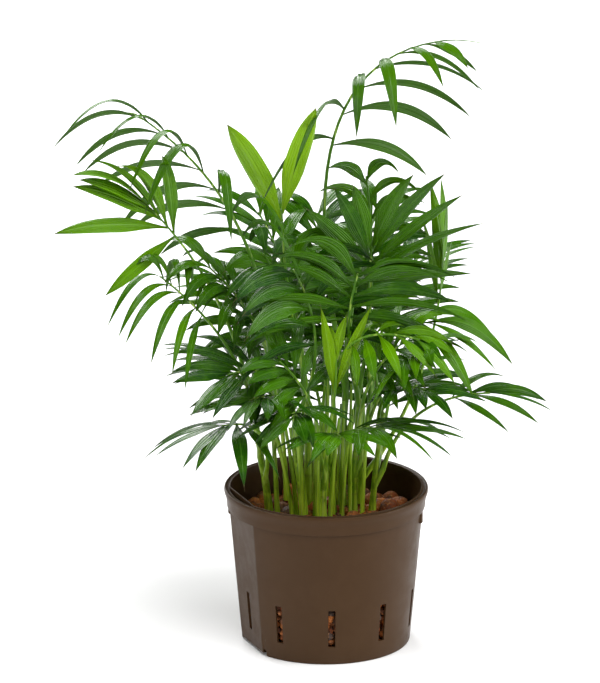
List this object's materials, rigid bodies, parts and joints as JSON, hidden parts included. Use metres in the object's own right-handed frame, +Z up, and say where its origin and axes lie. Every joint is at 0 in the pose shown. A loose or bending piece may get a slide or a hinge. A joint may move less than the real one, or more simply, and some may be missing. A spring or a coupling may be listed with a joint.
{
  "type": "potted parlour palm",
  "caption": "Bushy parlour palm with arching feather fronds on a clump of green canes, growing in clay pebbles in a brown tapered hydroculture pot.",
  "frame": {"origin": "centre of the pot's flat underside", "axes": "+Z up from the underside to the top of the crown, +Y away from the front of the plant, +X to its right as seen from the front"},
  "size_m": [0.3706, 0.2794, 0.4577],
  "materials": {
    "pot_plastic": "satin moulded brown plastic",
    "fired_clay": "rough fired clay",
    "cane_green": "smooth living cane",
    "leaf_dark": "glossy grown leaf",
    "leaf_mid": "glossy younger leaf",
    "leaf_light": "glossy light leaf",
    "leaf_new": "satin new leaf"
  },
  "bodies": {
    "root": {"pot": "pot_plastic", "clay_pebbles": "fired_clay", "stem_01": "cane_green", "stem_02": "cane_green", "stem_03": "cane_green", "stem_04": "cane_green", "stem_05": "cane_green", "stem_06": "cane_green", "stem_07": "cane_green", "stem_08": "cane_green", "stem_09": "cane_green", "stem_10": "cane_green", "stem_11": "cane_green", "stem_12": "cane_green", "frond_01": "leaf_dark", "frond_02": "leaf_dark", "frond_03": "leaf_light", "frond_04": "leaf_mid", "frond_05": "leaf_new", "frond_06": "leaf_new", "frond_07": "leaf_dark", "frond_08": "leaf_dark", "frond_09": "leaf_dark", "frond_10": "leaf_mid", "frond_11": "leaf_light", "frond_12": "leaf_dark", "frond_13": "leaf_dark", "frond_14": "leaf_dark", "frond_15": "leaf_dark", "frond_16": "leaf_dark", "frond_17": "leaf_mid", "frond_18": "leaf_dark", "frond_19": "leaf_mid", "frond_20": "leaf_dark", "frond_21": "leaf_mid", "frond_22": "leaf_dark", "frond_23": "leaf_dark", "frond_24": "leaf_dark", "frond_25": "leaf_dark", "frond_26": "leaf_dark", "frond_27": "leaf_dark", "frond_28": "leaf_dark", "frond_29": "leaf_dark", "frond_30": "leaf_mid", "frond_31": "leaf_dark", "frond_32": "leaf_mid", "frond_33": "leaf_dark", "frond_34": "leaf_dark", "frond_35": "leaf_dark", "frond_36": "leaf_light", "frond_37": "leaf_dark", "frond_38": "leaf_mid"}
  },
  "joints": []
}
